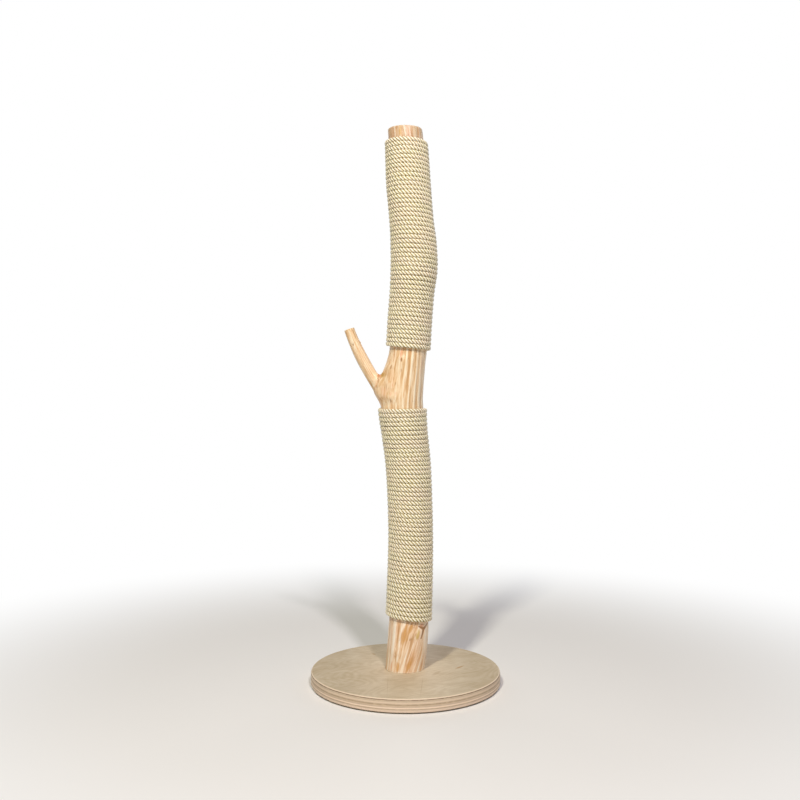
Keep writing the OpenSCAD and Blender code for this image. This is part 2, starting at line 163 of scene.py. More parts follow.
# Searches for a point's place: rounds on the trunk, the limb and their blended skin; samples of
# the limb's curve, its length over its span, and points taken at once
TRUNK_ROUNDS, LIMB_ROUNDS, SKIN_ROUNDS = 5, 3, 4
LIMB_SAMPLES, LIMB_ARC, AT_ONCE = 161, 1.15, 20000
SLOPE_STEP, LEAST_SLOPE, MOST_MOVE = 0.05, 0.25, 3

# Rope: its thickness, the height of a turn, where a turn starts round the trunk, and the slopes
# at which the turns fall to the right, at the foot and at the top of a winding
ROPE_D = 8.9
ROPE_PITCH = 9.25
BACK = 90
LOWER_FALL, UPPER_FALL = (0.1, -0.05), (0.06, 0)


def smooth(v):
    u = np.clip(v, 0, 1)
    return u * u * (3 - 2 * u)


def unit(v):
    return v / np.linalg.norm(v, axis=-1, keepdims=True)


def noise(points, cell, seed):
    """Smooth value noise from -1 to 1, its cells of the given size along each direction."""
    p = points / np.array(cell)
    low = np.floor(p).astype(np.int64)
    part = smooth(p - low)
    total = np.zeros(len(p))
    for corner in np.ndindex(2, 2, 2):
        x, y, z = (low + corner).T
        h = (x * 73856093) ^ (y * 19349663) ^ (z * 83492791) ^ (seed * 1013904223)
        h = ((h ^ (h >> 13)) * 1274126177) & 0xFFFFFFFF
        h = ((h ^ (h >> 15)) * 2246822519) & 0xFFFFFFFF
        share = np.where(corner, part, 1 - part).prod(1)
        total += share * (((h >> 8) & 0xFFFF) / 32767.5 - 1)
    return total


def growth_at(z, column):
    """Cubic through the growth list, with slopes that allow for its uneven steps."""
    t, v = GROWTH[:, 0], GROWTH[:, column]
    last = len(t) - 1
    low = np.maximum(np.arange(last + 1) - 1, 0)
    high = np.minimum(np.arange(last + 1) + 1, last)
    slope = (v[high] - v[low]) / (t[high] - t[low])
    share = np.clip((z - BASE_TOP) / TRUNK_LEN, 0, 1)
    i = np.clip(np.searchsorted(t, share) - 1, 0, last - 1)
    w = t[i + 1] - t[i]
    u = (share - t[i]) / w
    return (v[i] * (1 + 2 * u) * (1 - u) ** 2 + v[i + 1] * u * u * (3 - 2 * u)
            + slope[i] * w * u * (1 - u) ** 2 - slope[i + 1] * w * u * u * (1 - u))


def axis(z):
    return np.stack([growth_at(z, 1), growth_at(z, 2), z], -1)


def wood_r(z):
    return TRUNK_R + growth_at(z, 3)


def section(z):
    """Up, side and depth directions of the section that crosses the axis at height z."""
    level = smooth(np.minimum(z - BASE_TOP, TRUNK_TOP - z) / LEVEL_RUN)[..., None]
    rise = (axis(z + AXIS_STEP) - axis(z - AXIS_STEP)) / (2 * AXIS_STEP)
    rise[..., 2] = 0
    up = unit(level * rise + UP)
    side = unit(np.cross(DEPTH, up))
    return up, side, np.cross(up, side)


def around(z, angle, r):
    _, side, depth = section(z)
    a = np.radians(angle)
    return axis(z) + (r * np.cos(a))[..., None] * side + (r * np.sin(a))[..., None] * depth


def trunk_place(p):
    """Height along the axis, angle and radius of points."""
    z = p[:, 2].copy()
    for _ in range(TRUNK_ROUNDS):
        up = section(z)[0]
        z = np.clip(z + ((p - axis(z)) * up).sum(1), BASE_TOP, TRUNK_TOP)
    up, side, depth = section(z)
    off = p - axis(z)
    x, y = (off * side).sum(1), (off * depth).sum(1)
    return z, np.degrees(np.arctan2(y, x)) % 360, np.hypot(x, y)


def turned(a, b):
    return np.minimum(abs(a - b), 360 - abs(a - b))


def from_windings(z):
    """Distance from the nearest rope, along the bare wood."""
    fork = np.minimum(z - LOWER_WIND_TOP, UPPER_WIND_Z - z)
    return np.maximum(np.maximum(LOWER_WIND_Z - z, fork), z - UPPER_WIND_TOP)


def bark_r(z, a):
    """Radius of the trunk, with its knots, lobes and the collar of the limb."""
    bare = smooth((from_windings(z) - BARE_FROM) / BARE_RUN)
    lobes = LOBE_RISE * (np.cos(np.radians(2 * a + z / 3)) + 0.6 * np.cos(np.radians(3 * a - z / 4)))
    collar = COLLAR_RISE * np.exp(-((z - LOWER_WIND_TOP - COLLAR_Z) / COLLAR_REACH) ** 2
                                  - (turned(a, LIMB_SIDE) / COLLAR_SPREAD) ** 2)
    swell = sum(KNOT_RISE * np.exp(-(run_from(z, a, at) / KNOT_REACH) ** 2) for at in SWELLINGS)
    return wood_r(z) + bare * (lobes + collar + swell)


def run_from(z, a, at):
    return np.hypot(z - at[0], np.radians(turned(a, at[1])) * TRUNK_R)


def grain_turn(z, a):
    """Angle, in degrees, by which leaning grain has moved round the foot at these points."""
    rise = (z - BASE_TOP) * (1 - smooth((z - LOWER_WIND_Z) / FOOT_LEAN_FADE))
    spread = np.exp(-(turned(a, FOOT_LEAN_SIDE) / FOOT_LEAN_SPREAD) ** 2)
    return np.degrees(FOOT_LEAN * rise / TRUNK_R * spread)


# Limb: a quadratic curve from inside the trunk to the tip
limb_foot = axis(LOWER_WIND_TOP - LIMB_FOOT_DROP) - [LIMB_START, 0, 0]
limb_tip = np.array([-LIMB_REACH, growth_at(LOWER_WIND_TOP, 2), LOWER_WIND_TOP + LIMB_RISE])
limb_knee = limb_foot + (limb_tip - limb_foot) * [LIMB_KNEE[0], 0, LIMB_KNEE[1]]
limb_span = np.linalg.norm(limb_tip - limb_foot)


def limb_at(t):
    t = t[..., None]
    return (1 - t) ** 2 * limb_foot + 2 * t * (1 - t) * limb_knee + t * t * limb_tip


def limb_heading(t):
    t = t[..., None]
    return unit((1 - t) * (limb_knee - limb_foot) + t * (limb_tip - limb_knee))


def limb_r(t):
    flare = np.maximum(0, 1 - t / FLARE_SHARE) ** FLARE_POWER
    taper = smooth((t - TAPER_FROM) / (1 - TAPER_FROM))
    return LIMB_D / 2 + (LIMB_ROOT_D - LIMB_D) / 2 * flare - (LIMB_D - LIMB_TIP_D) / 2 * taper


def limb_place(p):
    """Share of the limb's curve, sideways and depth places, and run past the tip."""
    samples = np.linspace(0, 1, LIMB_SAMPLES)
    line = limb_at(samples)
    t = np.empty(len(p))
    for i in range(0, len(p), AT_ONCE):
        part = p[i:i + AT_ONCE]
        t[i:i + AT_ONCE] = samples[((part[:, None] - line) ** 2).sum(2).argmin(1)]
    for _ in range(LIMB_ROUNDS):
        along = ((p - limb_at(t)) * limb_heading(t)).sum(1)
        t = np.clip(t + along / limb_span / LIMB_ARC, 0, 1)
    head = limb_heading(t)
    side = unit(np.cross(DEPTH, head))
    off = p - limb_at(t)
    return t, (off * side).sum(1), (off * np.cross(head, side)).sum(1), (off * head).sum(1)


def blend_min(a, b, k):
    """Smaller of two distances, with a soft change over k where they meet."""
    h = np.clip(0.5 + 0.5 * (b - a) / k, 0, 1)
    return b + (a - b) * h - k * h * (1 - h)


def wood_distances(p):
    """Distances of points from the trunk's and the limb's surface."""
    z, a, r = trunk_place(p)
    t, x, y, past = limb_place(p)
    side_gap = np.hypot(x, y) - limb_r(t)
    limb = -blend_min(-side_gap, -past, TIP_ROUND)
    return r - bark_r(z, a), limb


def fork_gap(p):
    """Distances of points from the blended surface of trunk and limb."""
    off_middle = smooth(abs(p[:, 1] - limb_tip[1]) / FACE_RUN)
    return blend_min(*wood_distances(p), LIMB_BLEND + FACE_BLEND * off_middle)


def onto_fork(p):
    """Points moved onto the blended surface of trunk and limb."""
    for _ in range(SKIN_ROUNDS):
        gap = fork_gap(p)
        slope = np.stack([(fork_gap(p + SLOPE_STEP * e) - gap) / SLOPE_STEP for e in np.eye(3)], 1)
        size = np.maximum((slope ** 2).sum(1), LEAST_SLOPE)
        p = p - np.clip(gap / size, -MOST_MOVE, MOST_MOVE)[:, None] * slope
    return p


def grain_places(p):
    """Places in straightened wood, where the trunk's flow into the limb's, and the limb's share."""
    z, a, r = trunk_place(p)
    straight = np.radians(a - grain_turn(z, a))
    trunk = np.stack([r * np.cos(straight), r * np.sin(straight), z], 1)
    t, x, y, _ = limb_place(p)
    limb = np.stack([x + GRAIN_ASIDE, y, limb_foot[2] + GRAIN_ABOVE + t * limb_span], 1)
    to_trunk, to_limb = wood_distances(p)
    share = smooth(0.5 + (to_trunk - to_limb) / GRAIN_BLEND)[:, None]
    return trunk * (1 - share) + limb * share, share[:, 0]


def circle(sides, r, z, x=0, y=0):
    """Points on a level circle."""
    a = np.radians(np.arange(sides) * 360 / sides)
    return np.stack([x + r * np.cos(a), y + r * np.sin(a), np.full(sides, z)], 1)


def in_scene(name, data):
    made = bpy.data.objects.new(name, data)
    bpy.context.scene.collection.objects.link(made)
    return made


def mesh_of(name, points, faces):
    """Object with this mesh; points in millimetres."""
    mesh = bpy.data.meshes.new(name)
    mesh.from_pydata((np.asarray(points) * MM).tolist(), [], faces)
    mesh.update()
    return in_scene(name, mesh)


def tube_faces(rings, sides, capped=True):
    """Quads over rings of points that turn left as seen from the last ring."""
    i, j = np.meshgrid(np.arange(rings - 1), np.arange(sides), indexing="ij")
    a, b = i * sides + j, i * sides + (j + 1) % sides
    faces = np.stack([a, b, b + sides, a + sides], 2).reshape(-1, 4).tolist()
    if capped:
        faces.append(list(range(sides))[::-1])
        faces.append(list(range((rings - 1) * sides, rings * sides)))
    return faces


def vectors_of(mesh, kind):
    found = np.empty(len(mesh.vertices) * 3)
    mesh.vertices.foreach_get(kind, found)
    return found.reshape(-1, 3)


def points_of(mesh):
    return vectors_of(mesh, "co") / MM


def equal_parts(node, count, first, x=0, y=0):
    """Points of each of a CAD node's equal parts, told apart by their angle round x, y."""
    points = points_of(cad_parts[node].data)
    angle = np.degrees(np.arctan2(points[:, 1] - y, points[:, 0] - x))
    part = np.round((angle - first) / (360 / count)).astype(int) % count
    return [points[part == k] for k in range(count)]


def set_points(mesh, points):
    mesh.vertices.foreach_set("co", (points * MM).ravel())
    mesh.update()


def with_modifier(made, kind, **settings):
    """Applies one modifier to an object's mesh."""
    modifier = made.modifiers.new(kind, kind)
    for key, value in settings.items():
        setattr(modifier, key, value)
    seen = made.evaluated_get(bpy.context.evaluated_depsgraph_get())
    mesh = bpy.data.meshes.new_from_object(seen)
    made.modifiers.clear()
    made.data = mesh


def with_boolean(made, tool, operation, solver="MANIFOLD"):
    """Adds a tool's solid to a mesh or cuts it out, and removes the tool."""
    with_modifier(made, "BOOLEAN", object=tool, operation=operation, solver=solver)
    bpy.data.objects.remove(tool)


def set_attribute(mesh, name, values):
    """Stores one number or one vector per vertex."""
    kind, field = ("FLOAT_VECTOR", "vector") if values.ndim == 2 else ("FLOAT", "value")
    mesh.attributes.new(name, kind, "POINT").data.foreach_set(field, values.astype(np.float32).ravel())


def cover(made, material):
    made.data.materials.clear()
    made.data.materials.append(material)


def finish_piece(made, slot, material, *nodes):
    cover(made, material)
    made.data.polygons.foreach_set("use_smooth", [True] * len(made.data.polygons))
    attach(made, BODY)
    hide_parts(*nodes)


# Trunk

STEM_SIDES, LIMB_SIDES, FORK_RINGS, BORE_SIDES = 200, 48, 60, 48
# Spacing of the rings where the wood is bare and under rope, and how far the fine ones go under
FINE, COARSE, UNDER_ROPE = 1.3, 10, 12
# Joint of the stems with the fork's skin, out of sight under the rope: how far out from the
# fork's end a stem starts and stops to narrow, by how much, and how far it goes in
NECK_FROM, NECK_TO, STEP_IN, LAP = 4, 1, 1.4, 9
FORK_LOW, FORK_HIGH = LOWER_WIND_TOP - 14, UPPER_WIND_Z + 14
FORK_VOXEL = 1.3
EDGE_KEPT = 2
TOP_TURNS, CAP_RINGS = 8, 26
BOLT_BORE_D, SCREW_BORE_D, SCREWS = 10.4, 5.4, 3


def stem(name, levels, shrink, cap_shares=()):
    """Closed length of trunk over these heights. shrink is taken off the radius."""
    z = np.repeat(levels, STEM_SIDES)
    a = np.tile(np.arange(STEM_SIDES) * 360 / STEM_SIDES, len(levels))
    r = bark_r(z, a) - np.repeat(shrink, STEM_SIDES)
    rings = [around(z, a, r).reshape(-1, STEM_SIDES, 3)]
    middle = rings[0][-1].mean(0)
    for share in cap_shares:
        rings.append((middle + (rings[0][-1] - middle) * share)[None])
    points = np.concatenate(rings).reshape(-1, 3)
    return mesh_of(name, points, tube_faces(len(points) // STEM_SIDES, STEM_SIDES))


def steps(low, high, step):
    return np.linspace(low, high, max(2, round((high - low) / step) + 1))[:-1]


def lower_stem():
    levels = np.concatenate([
        steps(BASE_TOP, LOWER_WIND_Z + UNDER_ROPE, FINE),
        steps(LOWER_WIND_Z + UNDER_ROPE, FORK_LOW - NECK_FROM, COARSE),
        [FORK_LOW - NECK_FROM, FORK_LOW - NECK_TO, FORK_LOW + LAP],
    ])
    shrink = np.where(levels >= FORK_LOW - NECK_TO, STEP_IN, 0)
    return stem("stem_low", levels, shrink)


def upper_stem():
    edge = TRUNK_TOP - TOP_EDGE_R
    turns = np.radians(np.linspace(0, 90, TOP_TURNS))
    levels = np.concatenate([
        [FORK_HIGH - LAP, FORK_HIGH + NECK_TO, FORK_HIGH + NECK_FROM],
        steps(FORK_HIGH + NECK_FROM, UPPER_WIND_TOP - UNDER_ROPE, COARSE)[1:],
        steps(UPPER_WIND_TOP - UNDER_ROPE, edge, FINE), edge + TOP_EDGE_R * np.sin(turns),
    ])
    shrink = np.where(levels <= FORK_HIGH + NECK_TO, STEP_IN, 0.0)
    shrink[-len(turns):] = TOP_EDGE_R * (1 - np.cos(turns))
    return stem("stem_high", levels, shrink, np.linspace(0.96, 0.02, CAP_RINGS))


def branch():
    """The side limb as a tube, from inside the trunk to its tip."""
    shares = np.linspace(0.02, 1, FORK_RINGS)
    angles = np.radians(np.arange(LIMB_SIDES) * 360 / LIMB_SIDES)
    head = limb_heading(shares)
    side = unit(np.cross(DEPTH, head))
    depth = np.cross(head, side)
    ring = np.cos(angles)[:, None] * side[:, None] + np.sin(angles)[:, None] * depth[:, None]
    points = limb_at(shares)[:, None] + limb_r(shares)[:, None, None] * ring
    return mesh_of("limb", points.reshape(-1, 3), tube_faces(len(shares), LIMB_SIDES))


def fork():
    """The bare wood at the fork with the limb, in one skin."""
    levels = np.linspace(FORK_LOW, FORK_HIGH, FORK_RINGS)
    made = stem("fork", levels, np.zeros(len(levels)))
    with_boolean(made, branch(), "UNION", "EXACT")
    with_modifier(made, "REMESH", mode="VOXEL", voxel_size=FORK_VOXEL * MM)
    p = points_of(made.data)
    near_tip = p[:, 0] < limb_tip[0] + LIMB_TIP_D
    inner = (p[:, 2] > FORK_LOW + EDGE_KEPT) & ((p[:, 2] < FORK_HIGH - EDGE_KEPT) | near_tip)
    p[inner] = onto_fork(p[inner])
    set_points(made.data, p)
    return made


def across(a, middle):
    """Way round the trunk from an angle, in millimetres, to the left or the right."""
    return np.radians((a - middle + 180) % 360 - 180) * TRUNK_R


def strongest(table, run_from, ragged=1):
    """Strength of a table's marks, where run_from is the run from a mark in half sizes."""
    return np.max([
        strength * smooth(1.5 - ragged * run_from(*at)) for *at, strength in table
    ], axis=0)


def marks_at(z, straight, table, ragged=1):
    """Strength of marks at heights and straightened angles of the trunk."""
    def run_from(height, angle, wide, high):
        aside = across(straight, angle - grain_turn(height, angle))
        return np.hypot((z - height) / high, aside / wide)
    return strongest(table, run_from, ragged)


def limb_marks_at(t, side, table, ragged=1):
    """Strength of marks at shares of the limb's length and sides in degrees."""
    def run_from(share, middle, wide, high):
        aside = np.radians(turned(side, middle)) * LIMB_D / 2
        return np.hypot((t - share) * limb_span / high, aside / wide)
    return strongest(table, run_from, ragged)


def flecks_at(p):
    """Strength of the flecks below the crotch, on the photographed side."""
    def run_from(x, z, wide, high):
        return np.hypot((p[:, 0] - x) / wide, (p[:, 2] - z) / high)
    return strongest(FLECKS, run_from) * (p[:, 1] < 0)


def splits_at(z, a):
    """How deep the splits of the foot are at these points, from 0 to 1."""
    start = np.array([SPLIT_AT[0], math.radians(SPLIT_AT[1]) * TRUNK_R])
    p = np.stack([z, np.radians(a) * TRUNK_R], 1) - start
    found = np.zeros(len(z))
    for height, angle in SPLIT_ENDS:
        way = np.array([height, math.radians(angle) * TRUNK_R]) - start
        share = np.clip(p @ way / (way @ way), 0, 1)
        gap = np.linalg.norm(p - share[:, None] * way, axis=1)
        found = np.maximum(found, smooth(2.5 - 1.5 * gap / (SPLIT_WIDTH * (1 - 0.6 * share))))
    return found


def knot_flow(z, straight):
    """Sideways push of the grain round the knots."""
    push = np.zeros(len(z))
    for height, angle, wide, high, strength in KNOTS:
        side = across(straight, angle - grain_turn(height, angle))
        near = np.exp(-((z - height) / (2.5 * high)) ** 2 - (side / (3 * wide)) ** 2)
        push += strength * wide * np.clip(side, -1, 1) * near
    return push


def wood_marks(p, place, straight, grain, on_limb):
    """Knots, splits, dark spots and the three colour marks (bark, reddish, olive) at points."""
    z, a = place
    off_limb = 1 - on_limb
    t, x, y, _ = limb_place(p)
    side = np.degrees(np.arctan2(y, x)) % 360
    ragged = 1 + 0.4 * noise(grain, *RAGGED)
    knots = np.maximum(off_limb * marks_at(z, straight, KNOTS), on_limb * limb_marks_at(t, side, LIMB_KNOTS))
    split = off_limb * splits_at(z, a)
    from_crotch = (p[:, 0] - CROTCH[0]) / CROTCH[2]
    at_crotch = smooth(1.6 - np.hypot(from_crotch, (p[:, 2] - CROTCH[1]) / CROTCH[3]))
    olive_side = at_crotch * smooth(0.5 + 2 * from_crotch)
    specks = smooth((noise(grain, *SPECKS) - 0.7) / 0.15)
    # In the splits the dark is the brown of the cracks and partly painted shade in them.
    dark = np.max([knots, split, 0.3 * at_crotch + 0.35 * olive_side, flecks_at(p), 0.3 * specks], axis=0)
    patches = smooth((noise(grain, *PATCHES) - 0.4) / 0.3)
    bark = np.max([
        off_limb * marks_at(z, straight, BARK, ragged), on_limb * limb_marks_at(t, side, LIMB_BARK, ragged),
        0.25 * patches], axis=0)
    reddish = np.max([
        off_limb * marks_at(z, straight, REDDISH, ragged), at_crotch - olive_side,
        0.4 * smooth((mottle_at(p, grain) - 0.15) / 0.3)], axis=0)
    olive = np.maximum(off_limb * marks_at(z, straight, OLIVE, ragged), olive_side)
    return knots, split, dark, np.stack([bark, reddish, olive], 1)


def flutes_at(a, straight, grain, off_limb, in_fork):
    """Height of the flutes round the bare wood and their form, and how clear of them it is."""
    flute_at, high, sharp, level = np.where(in_fork, *np.array([FORK_FLUTES, FOOT_FLUTES])[..., None])
    clear = np.exp(-(turned(a, FLUTE_CLEAR_AT) / FLUTE_CLEAR) ** 2) * in_fork
    sway = 0.8 * noise(grain, *SWAY)
    crests = 0.5 + 0.5 * np.cos(np.radians(FLUTES * (straight - flute_at)) + sway)
    high = high * (0.7 + 0.5 * noise(grain, *FADE))
    return high * off_limb * (1 - clear), 2 * crests ** sharp - level, clear


def wood_looks(p):
    """Relief, grain places, colour marks, darkness and tone of the bare wood at points."""
    z, a, _ = trunk_place(p)
    straight = a - grain_turn(z, a)
    grain, on_limb = grain_places(p)
    push = (1 - on_limb) * knot_flow(z, straight)
    grain[:, 0] -= push * np.sin(np.radians(straight))
    grain[:, 1] += push * np.cos(np.radians(straight))
    knots, split, dark, marks = wood_marks(p, (z, a), straight, grain, on_limb)

    in_fork = z > LOWER_WIND_TOP - 20
    flute, crests, clear = flutes_at(a, straight, grain, 1 - on_limb, in_fork)
    ridges = (1 - 0.5 * clear) * noise(grain, *RIDGES)
    fibres = noise(grain, *FIBRES)
    near_top = smooth((z - TRUNK_TOP + 14) / 10)
    open_wood = np.maximum(smooth((from_windings(z) + 6) / 4), on_limb)
    relief = flute * crests + 0.3 * ridges + 0.14 * fibres - 0.12 * marks[:, 0]
    relief = open_wood * (1 - 0.6 * near_top) * (relief - 0.9 * knots - SPLIT_DEPTH * split)

    # Painted highlight: the wood is paler along the edge of the foot, and likewise near the top.
    ends = smooth((z - TRUNK_TOP + 4) / 3) + smooth((BASE_TOP + 2.5 - z) / 2)
    # Painted light: the bare wood is made paler round this side, and its flutes show less there.
    pale = np.exp(-(turned(a, PAINTED_LIGHT_SIDE) / PAINTED_LIGHT_SPREAD) ** 2)
    tone = 0.5 + (0.9 - 0.35 * pale) * flute * crests + np.where(in_fork, 0.18, 0.28) * ridges
    tone = tone + 0.24 * fibres + 0.2 * ends + 0.18 * mottle_at(p, grain) + 0.16 * pale
    return relief, grain, marks, dark, np.clip(tone, 0, 1)


def mottle_at(p, grain):
    """Short cloudy grain below the crotch, from -1 to 1."""
    run = np.hypot(p[:, 0] - MOTTLE_AT[0], p[:, 2] - MOTTLE_AT[1])
    return np.exp(-(run / MOTTLE_REACH) ** 2) * noise(grain, *MOTTLE)


def bore(x, y, d, low, high):
    points = np.concatenate([circle(BORE_SIDES, d / 2, z, x, y) for z in (low, high)])
    return mesh_of("bore", points, tube_faces(2, BORE_SIDES))


def bores():
    """The holes in the trunk's foot for the insert, the bolt and the wood screws."""
    insert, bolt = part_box("threaded_insert"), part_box("base_bolt")
    middle = (insert[0] + insert[1]) / 2 / MM
    below = BASE_TOP - 5
    wide = (insert[1][0] - insert[0][0]) / MM + 0.4
    yield bore(*middle[:2], wide, below, insert[1][2] / MM + 0.2)
    yield bore(*middle[:2], BOLT_BORE_D, below, bolt[1][2] / MM + 2)
    for points in equal_parts("anti_twist_screws", SCREWS, BACK, *axis(BASE_TOP)[:2]):
        x, y = points[:, :2].mean(0)
        yield bore(x, y, SCREW_BORE_D, below, points[:, 2].max() + 0.3)


def sawn_at(p):
    """Where the sawn ends are: 1 on the trunk's top and on the limb's tip."""
    t, x, y, past = limb_place(p)
    on_tip = smooth((past + 0.4) / 0.3) * (t > 0.98) * (np.hypot(x, y) < LIMB_TIP_D)
    return np.maximum(smooth((p[:, 2] - TRUNK_TOP + 0.4) / 0.3), on_tip)


def make_trunk():
    made = fork()
    for part in (lower_stem(), upper_stem()):
        with_boolean(made, part, "UNION")
    made.name = "trunk_wood"
    p = points_of(made.data)
    relief, grain, marks, dark, tone = wood_looks(p)
    at_foot = p[:, 2] < BASE_TOP + 0.05
    relief[(p[:, 2] > TRUNK_TOP - 0.05) | at_foot] *= 0.3
    moved = p + vectors_of(made.data, "normal") * relief[:, None]
    moved[at_foot, 2] = BASE_TOP
    moved[:, 2] = np.clip(moved[:, 2], BASE_TOP, TRUNK_TOP)
    set_points(made.data, moved)
    looks = {"marks": marks, "dark": dark, "tone": tone, "grain": grain * MM, "sawn": sawn_at(p)}
    for name, values in looks.items():
        set_attribute(made.data, name, values)
    for cutter in bores():
        with_boolean(made, cutter, "DIFFERENCE")
    finish_piece(made, "trunk_wood", trunk_material(), "trunk")


# Rope

STRANDS, STRAND_LAY = 3, 22
STRAND_R, STRAND_OFF, STRAND_SWELL = 2.45, 2.35, 0.035
# Places on a strand's outline, in degrees from its crest, and how deep in a groove each lies
LOBE, LOBE_GROOVE = (-60, -38, 0, 38), (1.0, 0.42, 0.0, 0.42)
# Rope pressed flat between its neighbours: angle at which it touches them, how far its face
# has fallen there, and its half width as a share of the pitch
TOUCH_AT, FACE_FALL, TOUCH = 72, 0.34, 0.497
ROPE_STEP = 1.68
# Wander of the turns: the circle that its noise is read on, the run over which it starts, and
# cells and seeds of its noise, along the trunk in long and short runs and away from it
DRIFT_R, DRIFT_START = 30, 25
SLOW_DRIFT, FAST_DRIFT, LIFT = ((22, 22, 30), 41), ((14, 14, 5), 43), ((18, 18, 6), 47)
# Texture map: its rows and the gap at their edges, as a share of a row
ROPE_ROWS, ROW_GAP = 18, 0.04


def rope_line(low, height, fall):
    """Centre, outward direction and run of a rope wound left-handed, ring by ring, and its pitch.
    fall is the slope at which its turns fall to the right, at the foot and at the top."""
    turns = round((height - ROPE_D) / ROPE_PITCH) + 1
    pitch = (height - ROPE_D) / (turns - 1)

    def places(u):
        z = low + ROPE_D / 2 + (u - 0.5) * pitch
        angle = BACK - 360 * u
        a = np.radians(angle)
        up = section(z)[0]
        slope = fall[0] + (fall[1] - fall[0]) * u / turns - up[:, 0] / up[:, 2]
        z = z - TRUNK_R * slope * np.cos(a)
        drift = np.stack([DRIFT_R * np.cos(a), DRIFT_R * np.sin(a), z], 1)
        edge = smooth(np.minimum(z - low - ROPE_D, low + height - ROPE_D - z) / DRIFT_START)
        z = z + edge * 0.55 * noise(drift, *SLOW_DRIFT) + 0.12 * noise(drift, *FAST_DRIFT)
        r = wood_r(z) + ROPE_D / 2 + 0.08 * noise(drift, *LIFT)
        return around(z, angle, r), z, angle

    dense = np.linspace(0, turns, turns * 360)
    line = places(dense)[0]
    run = np.concatenate([[0], np.cumsum(np.linalg.norm(np.diff(line, axis=0), axis=1))])
    even = np.linspace(0, run[-1], round(run[-1] / ROPE_STEP))
    centre, z, angle = places(np.interp(even, run, dense))
    _, side, depth = section(z)
    a = np.radians(angle)[:, None]
    return centre, np.cos(a) * side + np.sin(a) * depth, even, pitch


def flattened(angle):
    """Outline of a rope pressed between its neighbours: place across and height of the face, as
    shares of the whole, and side, from 1 on the outer face to -1 against the wood."""
    turn = (np.degrees(angle) + 180) % 360 - 180
    share = np.clip(np.minimum(abs(turn), 180 - abs(turn)) / TOUCH_AT, 0, 1)
    side = np.clip((90 - abs(turn)) / (90 - TOUCH_AT), -1, 1)
    return np.sign(turn) * share, 1 - FACE_FALL * share ** 2, side


def strand_outline(run, seed):
    """Angles of a ring's points round the rope, how far out they reach, and their swell."""
    wander = np.stack([run, np.zeros(len(run)), np.full(len(run), seed)], 1)
    twist = 360 * run / STRAND_LAY + 22 * noise(wander, (60, 1, 1), seed)
    lobes = np.array([360 * k / STRANDS + d for k in range(STRANDS) for d in LOBE])
    from_lobe = np.radians(np.tile(LOBE, STRANDS))
    reach = STRAND_OFF * np.cos(from_lobe) + np.sqrt(STRAND_R ** 2 - (STRAND_OFF * np.sin(from_lobe)) ** 2)
    size = 1 + 0.02 * noise(wander, (9, 1, 1), seed + 1)[:, None]
    swell = np.stack([noise(wander + [0, 7 * k, 0], (11, 1, 1), seed + 2) for k in range(STRANDS)], 1)
    swell = 1 + STRAND_SWELL * swell[:, np.repeat(np.arange(STRANDS), len(LOBE))]
    return np.radians(twist[:, None] + lobes), reach * size * swell, swell


def make_rope(name, low, height, fall, seed):
    centre, out, run, pitch = rope_line(low, height, fall)
    travel = unit(np.gradient(centre, axis=0))
    out = unit(out - (out * travel).sum(1)[:, None] * travel)
    beside = np.cross(travel, out)
    angle, reach, swell = strand_outline(run, seed)
    across, face, side = flattened(angle)
    across = across * pitch * TOUCH
    away = side * (face * ROPE_D / 2 - np.clip(STRAND_R + STRAND_OFF - reach, 0, None))
    points = centre[:, None] + away[..., None] * out[:, None] + across[..., None] * beside[:, None]
    sides = reach.shape[1]
    made = mesh_of(name, points.reshape(-1, 3), tube_faces(len(run), sides))
    set_attribute(made.data, "groove", np.tile(LOBE_GROOVE, STRANDS * len(run)))
    fibre = np.stack([np.broadcast_to(run[:, None], reach.shape), across, away], 2).reshape(-1, 3)
    set_attribute(made.data, "fibre", fibre * MM)
    set_attribute(made.data, "tint", (swell.reshape(-1) - 1) / STRAND_SWELL)
    rope_map(made.data, len(run), sides)
    print(f"{name}: {run[-1] * MM:.2f} m of rope, {len(made.data.polygons)} faces")
    return made


def rope_map(mesh, rings, sides):
    """Texture map in rows, each a stretch of the rope laid flat, and the cut ends on the last."""
    per_row = math.ceil((rings - 1) / ROPE_ROWS)
    i, j = np.meshgrid(np.arange(rings - 1), np.arange(sides), indexing="ij")
    row, place = i // per_row, i % per_row
    left, right = place / per_row, (place + 1) / per_row
    low, high = (row + ROW_GAP + (1 - 2 * ROW_GAP) * k / sides for k in (j, j + 1))
    corners = [(left, low), (left, high), (right, high), (right, low)]
    uv = np.stack([np.stack([0.002 + 0.996 * u, v / (ROPE_ROWS + 1)], 2) for u, v in corners], 2)
    ends = np.tile([0.5, (ROPE_ROWS + 0.5) / (ROPE_ROWS + 1)], (2 * sides, 1))
    ends = ends + np.tile(circle(sides, 0.01, 0)[:, :2], (2, 1))
    layer = mesh.uv_layers.new(name="OFBake")
    layer.uv.foreach_set("vector", np.concatenate([uv.reshape(-1, 2), ends]).astype(np.float32).ravel())


# Materials

def srgb(*levels):
    """Linear colour of a colour given on the display's scale from 0 to 255."""
    shares = [v / 255 for v in levels]
    return [v / 12.92 if v <= 0.04045 else ((v + 0.055) / 1.055) ** 2.4 for v in shares] + [1]


# Sockets of a mix of colours
MIX_SHARE, MIX_A, MIX_B, MIX_OUT = 0, 6, 7, 2


